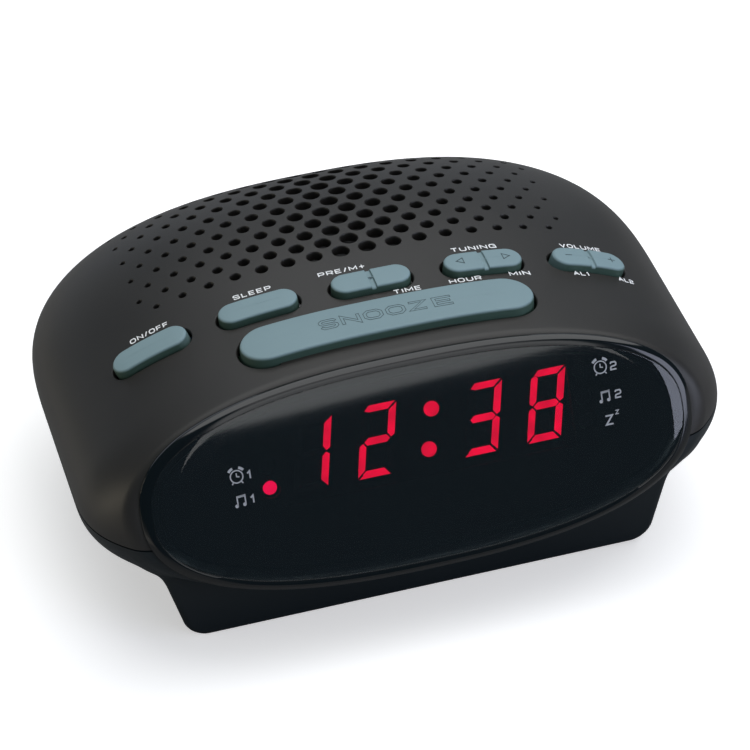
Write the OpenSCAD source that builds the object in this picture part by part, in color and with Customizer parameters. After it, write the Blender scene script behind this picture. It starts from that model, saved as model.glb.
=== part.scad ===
// Table clock radio: domed two-part housing on a plinth, tilted oval display window,
// six caps on top, a speaker under a drilled grille and the works inside.
// Origin: middle of the footprint at table height. Front is -Y, +Z is up.

/* [Body] */
// Width over the two side walls
body_w = 134.4; // [130:0.2:138]
// Height of the parting line above the table
seam_z = 30; // [29:0.5:31]
// Rise of the dome above the parting line
dome_h = 26.6; // [26:0.1:28]
// Drop of the belly below the parting line
belly_h = 14; // [13:0.5:15]
// Distance from the origin to the back of the housing
rear_y = 53.4; // [52:0.2:55]
// Wall thickness of both housings
wall = 2; // [1.6:0.1:2.2]

/* [Window] */
// Lean of the display window from upright
win_tilt = 25; // [22:0.5:27]
// Half width of the bezel
win_a = 57; // [56:0.1:57.5]
// Half height of the bezel
win_b = 22.2; // [21.8:0.1:22.4]
// Distance of the window centre in front of the origin
win_y = -43.1; // [-44:0.1:-42.5]
// Height of the window centre
win_z = 36.8; // [36.4:0.1:37.2]
// Thickness of the bezel flange
flange_t = 1.6; // [1.4:0.1:1.8]

/* [Caps] */
// Length of a small cap
cap_l = 16.6; // [15.5:0.1:17]
// Depth of a small cap, front to back
cap_d = 6.2; // [5.6:0.1:6.4]
// Spacing of the small caps along the row
cap_pitch = 23.6; // [23:0.1:24]
// Place of the cap row, front to back
cap_y = -8.6; // [-9:0.1:-8.4]
// Length of the snooze bar
bar_l = 60.8; // [56:0.2:62]
// Depth of the snooze bar, front to back
bar_d = 11.6; // [10.5:0.1:11.8]
// Place of the snooze bar, front to back
bar_y = -20.8; // [-21:0.1:-20.6]
// How far the caps stand above the dome
proud = 1.6; // [1:0.1:2]
// Travel of a press cap
press = 0.6; // [0.3:0.1:0.8]

/* [Grille] */
// Spacing of the grille columns
col_pitch = 2.8; // [2.7:0.05:2.9]
// Spacing of the grille rows
row_pitch = 3.9; // [3.6:0.1:4]
// Diameter of the middle grille holes
hole_d = 3.7; // [3:0.1:3.8]
// Shrink of the hole diameter from one column to the next
hole_step = 0.165; // [0.12:0.005:0.18]

/* [Plinth] */
// Half width of the plinth at the table
plinth_a = 50.1; // [49.5:0.1:50.5]
// Half width of the plinth where it joins the belly
plinth_top_a = 54.8; // [53.4:0.2:55]
// Height of the rubber feet
foot_h = 0.8; // [0.6:0.1:1.2]

/* [Hidden] */
$fn = 48;

// ---- housing surface ----
half_w = body_w / 2;
side_y = 5;         // the side walls are straight in front of this line
crest_y = -7;       // the dome is level in front of this line
corner_y = -24.5;   // the front corners start here
corner_run = 31;    // reach of the front corner curve
sec_x = 2.57;       // fullness of the dome's cross-section, sideways
sec_z = 1.86;       // fullness of the dome's cross-section, upwards
belly_x = 3;        // fullness of the belly's cross-section, sideways
belly_z = 2.4;      // fullness of the belly's cross-section, downwards
ring_n = 40;        // points around one cross-section
seam_gap = 0.2;     // gap between the two housings at the parting line

// Falls from 1 to 0 as t goes from 0 to 1
function fade(t, p, q) = pow(max(1 - pow(min(max(t, 0), 1), p), 0), 1 / q);
function plan_half(y, g) = (half_w - g)
  * (y > side_y ? fade((y - side_y) / (rear_y - g - side_y), 3, 3)
                : fade((corner_y - y) / (corner_run - g), 2.5, 2.5));
function rise(y, g, h) = (h - g) * fade((y - crest_y) / (rear_y - g - crest_y), 3.1, 2.4);
// Height of the dome at a point in plan
function dome_z(x, y) = seam_z
  + rise(y, 0, dome_h) * fade(abs(x) / plan_half(y, 0), sec_x, sec_z);
// Sideways slope of the dome as an angle
function dome_lean(x) = atan((dome_z(x + 0.5, cap_y) - dome_z(x - 0.5, cap_y)));

function ring(y, g) = [
  for (i = [0 : ring_n - 1])
    let (a = 360 * i / ring_n, up = sin(a) >= 0)
    [
      plan_half(y, g) * sign(cos(a)) * pow(abs(cos(a)), 2 / (up ? sec_x : belly_x)),
      y,
      seam_z + (up ? 1 : -1) * rise(y, g, up ? dome_h : belly_h)
        * pow(abs(sin(a)), 2 / (up ? sec_z : belly_z))
    ]
];
front_y = corner_y - corner_run + 1.2;
function stations(g) = concat(
  [front_y, front_y + 2.5, -48, -43, -38, -32, corner_y, crest_y],
  [for (k = [0 : 10]) side_y + (rear_y - g - 0.02 - side_y) * sin(9 * k)]
);

// Closed solid inside the housing surface, g below it
module body_solid(g) {
  ys = stations(g);
  m = len(ys);
  points = [for (y = ys) each ring(y, g)];
  sides = [
    for (k = [0 : m - 2], i = [0 : ring_n - 1])
      let (j = (i + 1) % ring_n, a = k * ring_n, b = a + ring_n)
      each [[a + i, b + j, b + i], [a + i, a + j, b + j]]
  ];
  ends = [
    [for (i = [ring_n - 1 : -1 : 0]) i],
    [for (i = [0 : ring_n - 1]) (m - 1) * ring_n + i]
  ];
  polyhedron(points, concat(sides, ends), convexity = 6);
}

// ---- window frame: local x across, y up the window, z out of it ----
win_n = 2.46;
lens_a = 54.9;
lens_b = 20;
lens_t = 2.2;

module at_window(depth = 0) {
  translate([0, win_y, win_z])
    rotate([90 - win_tilt, 0, 0])
      translate([0, 0, depth])
        children();
}
module oval(a, b) {
  polygon([
    for (i = [0 : 71])
      let (t = 5 * i)
      [
        a * sign(cos(t)) * pow(abs(cos(t)), 2 / win_n),
        b * sign(sin(t)) * pow(abs(sin(t)), 2 / win_n)
      ]
  ]);
}
// Oval ring or plate between two depths; inner sizes of 0 leave it solid
module oval_ring(a, b, ia, ib, z0, z1) {
  at_window(z0)
    linear_extrude(z1 - z0)
      difference() {
        oval(a, b);
        if (ia > 0) oval(ia, ib);
      }
}
// Everything in front of a plane parallel to the window
module ahead_of(depth) {
  at_window(depth) translate([-100, -100, 0]) cube([200, 200, 100]);
}

// ---- caps ----
pocket_end = 0.7;   // gap at each end of a cap
pocket_side = 0.2;  // gap along each side of a cap
skirt_depth = 3.9;  // depth of the caps' lower edge below the dome
lip_t = 0.8;        // thickness of the retaining lip
board_z = 38;       // underside of the key board
board_t = 1.6;
switch_h = 3.5;
plunger_h = 0.8;
stem_s = 5.2;       // distance of a rocker's stems from its middle
stem_gap = press + 0.25;
stem_end = board_z + board_t + switch_h + plunger_h + stem_gap;

// Local frame of a cap: z is the outward normal of the dome
module at_cap(x, y) {
  translate([x, y, dome_z(x, y)]) rotate([0, -dome_lean(x), 0]) children();
}
// Round-ended slab
module pill(l, d, z0, z1, fn = 32) {
  hull()
    for (s = [-1, 1])
      translate([s * (l - d) / 2, 0, z0]) cylinder(d = d, h = z1 - z0, $fn = fn);
}
// Round-ended slab with its top edge rounded over
module soft_pill(l, d, z0, z1, r = 0.8) {
  hull()
    for (s = [-1, 1])
      translate([s * (l - d) / 2, 0, z0])
        rotate_extrude($fn = 32)
          polygon(concat(
            [[0, 0], [d / 2, 0]],
            [for (k = [0 : 3]) [d / 2 - r + r * cos(30 * k), z1 - z0 - r + r * sin(30 * k)]],
            [[0, z1 - z0]]
          ));
}
// Small cap: shell top, retaining lip and stems that reach the switches below
module small_cap(x, lip_l, stems) {
  at_cap(x, cap_y) {
    soft_pill(cap_l, cap_d, -skirt_depth, proud);
    pill(lip_l, cap_d + 2.4, -skirt_depth, lip_t - skirt_depth, 24);
  }
  intersection() {
    for (s = stems)
      at_cap(x, cap_y) translate([s, 0, -20]) cylinder(d = 3.2, h = 20, $fn = 24);
    translate([-100, -100, stem_end]) cube([200, 200, 100]);
  }
}
module groove(x) {
  at_cap(x, cap_y) translate([-0.5, -cap_d, proud - 0.3]) cube([1, 2 * cap_d, 2]);
}
module split_cap(x) {
  difference() {
    small_cap(x, 8, [-stem_s, stem_s]);
    groove(x);
  }
}

module on_off_button() {
  color("lightslategray") small_cap(-2 * cap_pitch + 1, cap_l + 1.6, [0]);
}
module sleep_button() {
  color("lightslategray") small_cap(-cap_pitch, cap_l + 1.6, [0]);
}
module preset_rocker() {
  color("lightslategray") split_cap(0);
}
module tuning_rocker() {
  color("lightslategray") split_cap(cap_pitch);
}
module volume_rocker() {
  color("lightslategray") split_cap(2 * cap_pitch - 1);
}

// The bar follows the dome from side to side
bar_xs = [for (s = [-1, -0.66, -0.33, 0, 0.33, 0.66, 1]) s * (bar_l - bar_d) / 2];
module bar_solid(grow_l, grow_d, down, up, r) {
  d = bar_d + 2 * grow_d;
  hull()
    for (x = bar_xs)
      translate([x + sign(x) * (grow_l - grow_d), bar_y, dome_z(x, bar_y) - down])
        rotate_extrude($fn = 40)
          polygon(concat(
            [[0, 0], [d / 2, 0]],
            [for (k = [0 : 3]) [d / 2 - r + r * cos(30 * k), down + up - r + r * sin(30 * k)]],
            [[0, down + up]]
          ));
}
module snooze_bar() {
  color("lightslategray")
    union() {
      bar_solid(0, 0, 3.4, proud, 0.9);
      difference() {
        bar_solid(0.7, 1, 5.6, -3.4, 0.1);
        translate([-20, bar_y - 3, 40]) cube([40, 6, 11.4]);
      }
      translate([0, bar_y, stem_end])
        cylinder(d = 5, h = dome_z(0, bar_y) - 3 - stem_end, $fn = 32);
    }
}

// ---- grille ----
grille_rows = 11;
grille_y = 4;
half_cols = 16;
module grille_holes() {
  for (j = [0 : grille_rows - 1], k = [-half_cols : half_cols])
    if ((k + j) % 2 != 0)
      let (x = k * col_pitch, y = grille_y + j * row_pitch)
        translate([x, y, dome_z(x, y) - wall - 1.6])
          cylinder(d = hole_d - hole_step * abs(k), h = wall + 4, $fn = abs(k) < 7 ? 8 : 6);
}

// ---- speaker ----
spk_y = 22.5;
spk_r = 22;
spk_z = 43.5;       // top of the basket's flange
spk_screw_x = 26.8;
cone_r = 16.2;

module at_speaker(z = 0) {
  translate([0, spk_y, z]) children();
}

// ---- screw columns ----
screw_xy = [[-41, -27.5], [41, -27.5], [-41, 24], [41, 24]];
screw_head_z = 20;
screw_shank_r = 1.25;

module upper_housing() {
  color("dimgray")
    difference() {
      union() {
        difference() {
          body_solid(0);
          body_solid(wall);
        }
        intersection() {
          body_solid(wall / 2);
          union() {
            for (p = screw_xy)
              translate([p[0], p[1], seam_z + seam_gap]) cylinder(r = 3.4, h = 30, $fn = 20);
            for (s = [-1, 1])
              translate([s * spk_screw_x, spk_y, spk_z - 1.5])
                cylinder(r = 3, h = 20, $fn = 12);
          }
        }
      }
      translate([-100, -100, -50]) cube([200, 200, 50 + seam_z + seam_gap]);
      ahead_of(-flange_t - 0.1);
      at_window(-3.2) linear_extrude(4) oval(win_a - 1, win_b - 1.3);
      grille_holes();
      for (k = [-2 : 2])
        at_cap(k * cap_pitch - sign(k) * (abs(k) > 1 ? 1 : 0), cap_y)
          pill(cap_l + 2 * pocket_end, cap_d + 2 * pocket_side, -3.3, 3, 20);
      bar_solid(pocket_end, pocket_side, 3.3, 3, 0.1);
      for (p = screw_xy)
        translate([p[0], p[1], seam_z - 1])
          pill(2 * screw_shank_r + 0.21, 2 * screw_shank_r + 0.2, 0, 10, 16);
      for (s = [-1, 1])
        translate([s * spk_screw_x, spk_y, spk_z - 2])
          pill(2.61, 2.6, 0, 7, 16);
    }
}

// ---- lower housing ----
plinth_front = -40.5;
plinth_rear = 30;
plinth_r = 4;
floor_t = 2;
bay = [-38, 12, -18, 8];     // battery bay: x from, x to, y from, y to
bay_top = 14.6;
bay_wall = 1.5;
main_z = 19;                 // underside of the main board
gland_x = 30;
gland_y = 51;                // outer face of the two lead bosses
gland_z = 24;
gland_r = 3.4;
wire_x = -30;
wire_r = 2;

module plinth(g, z0, z1) {
  translate([0, plinth_rear - g, 0])
    rotate([90, 0, 0])
      linear_extrude(plinth_rear - plinth_front - 2 * g)
        hull() {
          for (s = [-1, 1]) {
            translate([s * (plinth_a - plinth_r), z0 + plinth_r - g / 2])
              circle(r = plinth_r - g / 2, $fn = 32);
            translate([s * (plinth_top_a - g) - 0.5, z1 - 1]) square([1, 1]);
          }
        }
}
module lower_shell() {
  difference() {
    union() {
      body_solid(0);
      plinth(0, foot_h, seam_z - belly_h + 6);
    }
    body_solid(wall);
    plinth(wall, foot_h + floor_t, seam_z - belly_h + 6);
  }
}
module lower_housing() {
  color("black")
    difference() {
      union() {
        lower_shell();
        translate([bay[0] - bay_wall, bay[2] - bay_wall, foot_h])
          cube([bay[1] - bay[0] + 2 * bay_wall, bay[3] - bay[2] + 2 * bay_wall,
            bay_top + bay_wall - foot_h]);
        for (p = screw_xy)
          translate([p[0], p[1], foot_h]) cylinder(r = 3.4, h = seam_z - foot_h, $fn = 24);
        for (p = main_posts)
          translate([p[0], p[1], foot_h + 1])
            cylinder(r = 2.5, h = main_z - foot_h - 1, $fn = 20);
        lead_cylinder(gland_x, gland_r + 2.2, gland_y - 6, 6);
        lead_cylinder(wire_x, wire_r + 2, gland_y - 6, 6);
      }
      translate([-100, -100, seam_z]) cube([200, 200, 50]);
      ahead_of(-flange_t - 0.1);
      at_window(-3.2) linear_extrude(4) oval(win_a - 1, win_b - 1.3);
      translate([bay[0], bay[2], -1])
        cube([bay[1] - bay[0], bay[3] - bay[2], bay_top + 1]);
      battery_cover_space();
      for (p = screw_xy) {
        translate([p[0], p[1], -1]) pill(5.61, 5.6, 0, screw_head_z + 2.2 + 1, 20);
        translate([p[0], p[1], -1]) pill(2.81, 2.8, 0, 40, 16);
      }
      lead_cylinder(gland_x, gland_r, gland_y - 10, 20);
      lead_cylinder(gland_x, gland_r + 0.9, gland_y, 10);
      lead_cylinder(wire_x, wire_r, gland_y - 10, 20);
      lead_cylinder(wire_x, wire_r + 0.9, gland_y, 10);
    }
}
module lead_cylinder(x, r, y, l) {
  translate([x, y, gland_z]) rotate([-90, 0, 0]) cylinder(r = r, h = l, $fn = 32);
}

// ---- window parts ----
module bezel_ring() {
  color("black")
    difference() {
      union() {
        oval_ring(win_a, win_b, 0, 0, -flange_t, 0);
        oval_ring(win_a - 1.3, win_b - 1.6, 0, 0, -3.1, -flange_t);
      }
      oval_ring(lens_a + 0.1, lens_b + 0.1, 0, 0, -lens_t, 5);
      oval_ring(win_a - 3.8, win_b - 4.2, 0, 0, -10, 5);
    }
}
module display_lens() {
  color([0.08, 0.08, 0.1, 0.6])
    oval_ring(lens_a, lens_b, 0, 0, -lens_t + 0.02, 0);
}

disp_x = 3.4;          // middle of the digits, across the window
disp_y = 5.5;        // middle of the digits, up the window
digit_h = 14.6;
digit_w = 7.2;
stroke = 1.7;
slant = 0.21;        // sideways lean of the digits per unit of height
digit_xs = [-24.3, -11, 11, 24.3];
body_x = [-28.6, 33];
body_h = 20;
face_depth = -4.2;   // front face of the display body
body_t = 6.6;
led_r = 1.7;
mark_depth = 0.5;
alarm_led_xy = [-30.5, 0.6];
idle_led_xy = [[-30.5, 5.3], [35.2, 11.6], [35.2, 5.8], [35.2, 0.8]];

module light_mask() {
  color("black")
    difference() {
      oval_ring(win_a - 4.1, win_b - 4.5, 0, 0, -3.3, -2.4);
      at_window(-4) translate([-27.6, disp_y - 9, 0]) cube([60, 18, 3]);
      for (p = concat([alarm_led_xy], idle_led_xy))
        at_window(-4) translate([p[0], p[1], 0]) cylinder(r = led_r + 0.15, h = 3, $fn = 24);
    }
}

// One stroke of a digit: a hexagonal bar from a to b
module bar2d(a, b) {
  v = b - a;
  n = norm(v);
  u = v / n;
  w = [-u[1], u[0]] * stroke / 2;
  e = u * stroke / 2;
  polygon([a, a + e + w, b - e + w, b, b - e - w, a + e - w]);
}
// Ends of the seven strokes in the order a b c d e f g
function strokes() =
  let (x = digit_w / 2 - stroke / 2, y = digit_h / 2 - stroke / 2, g = 0.16)
  [
    [[-x + g, y], [x - g, y]], [[x, y - g], [x, g]], [[x, -g], [x, g - y]],
    [[x - g, -y], [g - x, -y]], [[-x, g - y], [-x, -g]], [[-x, g], [-x, y - g]],
    [[g - x, 0], [x - g, 0]]
  ];
// Strokes lit for 1, 2, 3 and 8
lit = [[1, 2], [0, 1, 6, 4, 3], [0, 1, 6, 2, 3], [0, 1, 2, 3, 4, 5, 6]];
function has(list, v) = len([for (q = list) if (q == v) 1]) > 0;
module segments(want_lit) {
  at_window(face_depth)
    for (d = [0 : 3], s = [0 : 6])
      if (has(lit[d], s) == want_lit)
        translate([disp_x + digit_xs[d], disp_y, -mark_depth])
          linear_extrude(mark_depth)
            multmatrix([[1, slant, 0, 0], [0, 1, 0, 0], [0, 0, 1, 0], [0, 0, 0, 1]])
              bar2d(strokes()[s][0], strokes()[s][1]);
}
colon_y = 4.05;
module colon_dots(grow) {
  for (s = [-1, 1])
    at_window(face_depth)
      translate([disp_x + s * colon_y * slant, disp_y + s * colon_y, -mark_depth])
        cylinder(r = 1.6 + grow, h = mark_depth + grow, $fn = 32);
}
module lit_segments() {
  color("red") {
    segments(true);
    colon_dots(0);
  }
}
module dark_segments() {
  color("dimgray") segments(false);
}
module display_body() {
  color("black")
    difference() {
      at_window(face_depth - body_t)
        translate([body_x[0], disp_y - body_h / 2, 0])
          cube([body_x[1] - body_x[0], body_h, body_t]);
      segments(true);
      segments(false);
      colon_dots(0.001);
    }
}
board_depth = face_depth - body_t - 0.05;
module display_board() {
  color("darkgreen")
    at_window(board_depth - board_t)
      translate([-37, -14, 0]) cube([74, 30, board_t]);
}
module led_lamp(p) {
  at_window(board_depth)
    translate([p[0], p[1], 0]) {
      cylinder(r = led_r - 0.2, h = -3.7 - board_depth, $fn = 24);
      cylinder(r = led_r, h = 1, $fn = 24);
    }
}
module alarm_led() {
  color("red") led_lamp(alarm_led_xy);
}
module indicator_leds() {
  color("darkred") for (p = idle_led_xy) led_lamp(p);
}

// ---- key board ----
key_front = -23.8;
key_rear = -2;
key_half = 54;
switch_xy = concat(
  [for (x = [-2 * cap_pitch + 1, -cap_pitch]) [stem_x(x, 0), cap_y]],
  [for (x = [0, cap_pitch, 2 * cap_pitch - 1], s = [-stem_s, stem_s]) [stem_x(x, s), cap_y]],
  [[0, bar_y]]
);
// Where the leaning stem at s on the cap at x arrives over the board
function stem_x(x, s) =
  let (a = -dome_lean(x))
  x + s * cos(a) - (dome_z(x, cap_y) - s * sin(a) - stem_end) * tan(a);
module switch_group(size, z, h) {
  for (p = switch_xy)
    translate([p[0] - size / 2, p[1] - size / 2, z])
      cube([size, size, h]);
}
module key_board() {
  color("darkgreen")
    difference() {
      translate([-key_half, key_front, board_z]) cube([2 * key_half, key_rear - key_front, board_t]);
      for (s = [-1, 1])
        translate([s * 43, -15, board_z - 1]) cylinder(r = 1.6, h = 4, $fn = 24);
    }
}
module tact_switches() {
  color("silver") switch_group(5.6, board_z + board_t, switch_h);
}
module switch_plungers() {
  color("black")
    for (p = switch_xy)
      translate([p[0], p[1], board_z + board_t + switch_h])
        cylinder(r = 1.6, h = plunger_h, $fn = 24);
}

// ---- main board and its parts ----
main_x = [-47, 17];
main_y = [-20, 19.5];
main_posts = [[-44, -17], [-44, 16.5], [14, 16.5], [14, -17]];
module main_board() {
  color("darkgreen")
    difference() {
      translate([main_x[0], main_y[0], main_z])
        cube([main_x[1] - main_x[0], main_y[1] - main_y[0], board_t]);
      for (p = main_posts)
        translate([p[0], p[1], main_z - 1]) cylinder(r = 1.2, h = 4, $fn = 24);
    }
}
module capacitors() {
  color("navy")
    for (c = [[-35, 13, 5, 12], [-24, 14, 4, 10], [-42, 5, 3.2, 8], [-33, 2, 2.5, 7], [-22, -14, 2.5, 6]])
      translate([c[0], c[1], main_z + board_t]) cylinder(r = c[2], h = c[3], $fn = 32);
}
module radio_chips() {
  color("black")
    for (c = [[-12, -15, 12, 8], [4, -15, 8, 6], [-24, -6, 9, 7]])
      translate([c[0], c[1], main_z + board_t]) cube([c[2], c[3], 1.5]);
}
module tuner_can() {
  color("silver")
    translate([-46, -13, main_z + board_t])
      difference() {
        cube([14, 10, 7]);
        translate([0.6, 0.6, -1]) cube([12.8, 8.8, 7.4]);
      }
}

// ---- speaker parts ----
module turned(profile) {
  at_speaker() rotate_extrude($fn = 64) polygon(profile);
}
magnet_z = 22.4;
plate_z = 30;
module speaker_basket() {
  color("silver")
    turned([
      [7.4, plate_z], [12.6, plate_z], [19, spk_z - 1.5], [spk_r, spk_z - 1.5], [spk_r, spk_z],
      [18.2, spk_z], [11.9, plate_z + 1.2], [7.4, plate_z + 1.2]
    ]);
}
module speaker_magnet() {
  color("dimgray")
    turned([
      [0, magnet_z], [13.5, magnet_z], [13.5, plate_z], [7, plate_z], [7, 25],
      [5.2, 25], [5.2, plate_z + 1], [0, plate_z + 1]
    ]);
}
module speaker_surround() {
  color("black")
    turned([
      [20, spk_z], [20, spk_z + 0.5], [18.9, spk_z + 0.5], [18.4, spk_z + 1.5],
      [17.6, spk_z + 1.9], [16.9, spk_z + 1.5], [16.5, spk_z + 0.9], [16.5, spk_z + 0.4],
      [16.9, spk_z + 0.7], [17.6, spk_z + 1.2], [18.1, spk_z + 0.9], [18.5, spk_z]
    ]);
}
module speaker_cone() {
  color("gray")
    turned([
      [cone_r, spk_z + 0.3], [cone_r, spk_z + 0.8], [15.6, spk_z + 0.8], [6.6, 37.8], [6.6, 37.2]
    ]);
}
module speaker_dust_cap() {
  color("black")
    turned([
      [7.2, 38.22], [7.2, 38.9], [6, 39.8], [4, 40.6], [2, 41], [0, 41.1],
      [0, 40.7], [2, 40.6], [4, 40.2], [6, 39.2], [6.6, 37.82]
    ]);
}
module voice_coil() {
  color("peru") turned([[5.7, 27.5], [6.5, 27.5], [6.5, 37.7], [5.7, 37.7]]);
}
module speaker_clamps() {
  color("silver")
    for (s = [-1, 1])
      translate([s * spk_screw_x, spk_y, spk_z - 2.4])
        difference() {
          cylinder(r = 6, h = 0.8, $fn = 40);
          translate([0, 0, -1]) cylinder(r = 1.4, h = 3, $fn = 24);
        }
}
module speaker_screws() {
  color("silver")
    for (s = [-1, 1])
      translate([s * spk_screw_x, spk_y, 0]) {
        translate([0, 0, spk_z - 4]) cylinder(r = 2.5, h = 1.6, $fn = 24);
        translate([0, 0, spk_z - 4]) cylinder(r = 1.2, h = 8, $fn = 24);
      }
}

// ---- transformer ----
core = [24, 19, 24];
core_at = [21.5, -8, foot_h + floor_t];
leg_w = 7;
slot_w = 4.6;
slot_h = 15;
module transformer_core() {
  color("gray")
    translate(core_at)
      difference() {
        cube(core);
        for (x = [core[0] / 2 - leg_w / 2 - slot_w, core[0] / 2 + leg_w / 2])
          translate([x, -1, (core[2] - slot_h) / 2]) cube([slot_w, core[1] + 2, slot_h]);
      }
}
module transformer_winding() {
  turns = [leg_w + 2 * slot_w - 0.2, core[1] + 9, slot_h - 0.2];
  color("peru")
    translate([core_at[0] + core[0] / 2, core_at[1] + core[1] / 2, core_at[2] + core[2] / 2])
      difference() {
        cube(turns, center = true);
        cube([leg_w + 0.1, core[1] + 0.1, core[2]], center = true);
      }
}

// ---- battery bay ----
cover_t = 1.6;
cover_gap = 0.3;
cover_lap = 1.4;
module battery_cover_space() {
  translate([bay[0] - cover_lap, bay[2] - cover_lap, foot_h - 2])
    cube([bay[1] - bay[0] + 2 * cover_lap, bay[3] - bay[2] + 2 * cover_lap, cover_t + 2.1]);
}
module battery_cover() {
  color("black")
    union() {
      difference() {
        translate([bay[0] - cover_lap + cover_gap, bay[2] - cover_lap + cover_gap, foot_h])
          cube([bay[1] - bay[0] + 2 * (cover_lap - cover_gap),
            bay[3] - bay[2] + 2 * (cover_lap - cover_gap), cover_t]);
        for (k = [0 : 3])
          translate([(bay[0] + bay[1]) / 2 - 5, bay[3] - 4 + 1.2 * k, foot_h - 1])
            cube([10, 0.6, 1.4]);
      }
      translate([(bay[0] + bay[1]) / 2 - 4, bay[3] - 2, foot_h + cover_t])
        cube([8, 1.2, 3]);
    }
}
cell_ys = [bay[2] + 6.2, bay[3] - 6.8];
module battery_contacts() {
  color("silver") {
    for (y = cell_ys)
      translate([bay[1] - 0.5, y - 4, 4]) cube([0.4, 8, 8]);
    translate([bay[0] + 0.1, bay[2] + 2.5, 4]) cube([0.4, bay[3] - bay[2] - 6, 8]);
  }
}
module contact_springs() {
  color("silver")
    for (y = cell_ys)
      translate([bay[0] + 0.5, y, 8])
        rotate([0, 90, 0])
          cylinder(r1 = 3.2, r2 = 1.8, h = 4.5, $fn = 32);
}

// ---- feet, fasteners and lead exits ----
foot_xy = [[-39, -34.2], [39, -34.2], [-31, 24.5], [31, 24.5]];
module rubber_feet() {
  color("black")
    for (p = foot_xy)
      translate([p[0], p[1], 0]) cylinder(r = 3.5, h = foot_h, $fn = 40);
}
module housing_screws() {
  color("silver")
    for (p = screw_xy)
      translate([p[0], p[1], screw_head_z]) {
        cylinder(r = 2.5, h = 2.1, $fn = 32);
        cylinder(r = screw_shank_r, h = 18, $fn = 32);
      }
}
module grommet(x, r) {
  difference() {
    union() {
      lead_cylinder(x, r - 0.05, gland_y - 7, 7);
      lead_cylinder(x, r + 0.7, gland_y, 1.2);
    }
    lead_cylinder(x, r - 1.1, gland_y - 8, 12);
  }
}
module mains_grommet() {
  color("black") grommet(gland_x, gland_r);
}
module antenna_grommet() {
  color("black") grommet(wire_x, wire_r);
}

upper_housing();
lower_housing();
bezel_ring();
display_lens();
light_mask();
display_body();
lit_segments();
dark_segments();
display_board();
alarm_led();
indicator_leds();
key_board();
tact_switches();
switch_plungers();
on_off_button();
sleep_button();
preset_rocker();
tuning_rocker();
volume_rocker();
snooze_bar();
main_board();
capacitors();
radio_chips();
tuner_can();
speaker_basket();
speaker_magnet();
speaker_surround();
speaker_cone();
speaker_dust_cap();
voice_coil();
speaker_clamps();
speaker_screws();
transformer_core();
transformer_winding();
battery_cover();
battery_contacts();
contact_springs();
rubber_feet();
housing_screws();
mains_grommet();
antenna_grommet();
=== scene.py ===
import math

import bmesh
import bpy
import numpy as np
from mathutils import Matrix, Vector


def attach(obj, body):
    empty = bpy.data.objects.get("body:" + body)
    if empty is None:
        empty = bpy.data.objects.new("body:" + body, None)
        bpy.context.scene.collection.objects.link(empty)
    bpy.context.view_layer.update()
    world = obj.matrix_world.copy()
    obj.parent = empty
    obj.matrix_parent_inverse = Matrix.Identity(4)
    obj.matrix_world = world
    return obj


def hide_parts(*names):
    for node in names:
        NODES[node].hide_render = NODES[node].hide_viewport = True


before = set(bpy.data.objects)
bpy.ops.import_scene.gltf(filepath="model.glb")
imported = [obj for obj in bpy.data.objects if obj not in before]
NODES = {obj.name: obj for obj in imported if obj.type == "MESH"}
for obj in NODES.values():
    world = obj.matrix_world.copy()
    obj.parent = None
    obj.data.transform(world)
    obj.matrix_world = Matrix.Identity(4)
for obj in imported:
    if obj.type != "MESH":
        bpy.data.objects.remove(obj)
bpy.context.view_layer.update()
MM = 0.001

# ------------------------------------------------------------------ housing surface, in mm
HALF_W, SEAM, DOME, BELLY, REAR = 67.2, 30.0, 26.6, 14.0, 53.4
DOME_EXP, BELLY_EXP = (2.57, 1.86), (3.0, 2.4)      # powers across and up, above and below the seam
PLAN_MID, PLAN_FRONT, PLAN_FRONT_LEN = 5.0, -24.5, 31.0     # where the plan starts to narrow
RISE_START = -7.0                                   # the dome falls towards the rear from here
WIN = np.array([0.0, -43.1, 36.8])
TILT = math.radians(25)
WX = np.array([1.0, 0.0, 0.0])
WY = np.array([0.0, math.sin(TILT), math.cos(TILT)])
WZ = np.array([0.0, -math.cos(TILT), math.sin(TILT)])
LIP = -1.7


def fade(t, p, q):
    return np.maximum(1 - np.clip(t, 0, 1) ** p, 0) ** (1 / q)


def plan_half(y, g=0.0):
    """Half width at y, drawn in by g."""
    back = fade((y - PLAN_MID) / (REAR - g - PLAN_MID), 3, 3)
    front = fade((PLAN_FRONT - y) / (PLAN_FRONT_LEN - g), 2.5, 2.5)
    return (HALF_W - g) * np.where(y > PLAN_MID, back, front)


def rise(y, g, h):
    """Height h above or below the seam at y, drawn in by g."""
    return (h - g) * fade((y - RISE_START) / (REAR - g - RISE_START), 3.1, 2.4)


def dome_z(x, y):
    x, y = np.asarray(x, float), np.asarray(y, float)
    across = np.abs(x) / np.maximum(plan_half(y), 0.3)
    return SEAM + rise(y, 0, DOME) * fade(across, *DOME_EXP)


def body_raw(p):
    x, y, z = np.abs(p[:, 0]), p[:, 1], p[:, 2] - SEAM
    a = np.maximum(plan_half(y), 0.4)
    up = z >= 0
    r = np.maximum(np.where(up, rise(y, 0, DOME), rise(y, 0, BELLY)), 0.3)
    u, v = x / a, np.abs(z) / r
    (du, dv), (bu, bv) = DOME_EXP, BELLY_EXP
    return np.where(up, u ** du + v ** dv, u ** bu + v ** bv) - 1


def gradient(f, p, h=0.02):
    g = np.empty_like(p)
    for k in range(3):
        e = np.zeros(3)
        e[k] = h
        g[:, k] = (f(p + e) - f(p - e)) / (2 * h)
    return g


def body_dist(p):
    f = body_raw(p)
    g = np.linalg.norm(gradient(body_raw, p), axis=1)
    return f / np.maximum(g, 1e-3)


def smin(a, b, k):
    h = np.maximum(k - np.abs(a - b), 0) / k
    return np.minimum(a, b) - h * h * k / 4


def smax(a, b, k):
    return -smin(-a, -b, k)


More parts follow.
